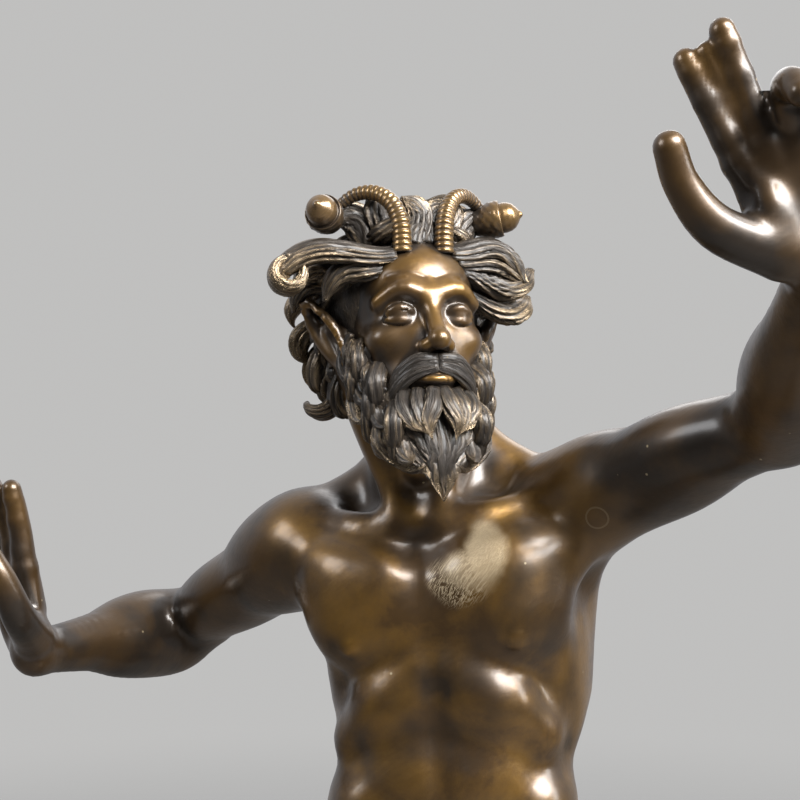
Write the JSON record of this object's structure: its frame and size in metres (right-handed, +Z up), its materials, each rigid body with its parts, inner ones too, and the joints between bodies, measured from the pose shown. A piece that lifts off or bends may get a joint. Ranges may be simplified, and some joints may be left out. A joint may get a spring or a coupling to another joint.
{
  "type": "faun statue",
  "caption": "Bronze statue of a bearded dancing faun with short horns, curled hair, raised arms and a goat's tail, on a low round base.",
  "frame": {"origin": "centre of the base's flat underside", "axes": "+Z up, the faun faces -Y, +X is the faun's left"},
  "size_m": [0.3815, 0.3317, 0.7677],
  "materials": {
    "faun_bronze": "brown patinated bronze, waxed to a gloss and worn to gold on the high places",
    "base_bronze": "dark brown patinated bronze, satin"
  },
  "bodies": {
    "root": {"faun": "faun_bronze", "base": "base_bronze"}
  },
  "joints": []
}
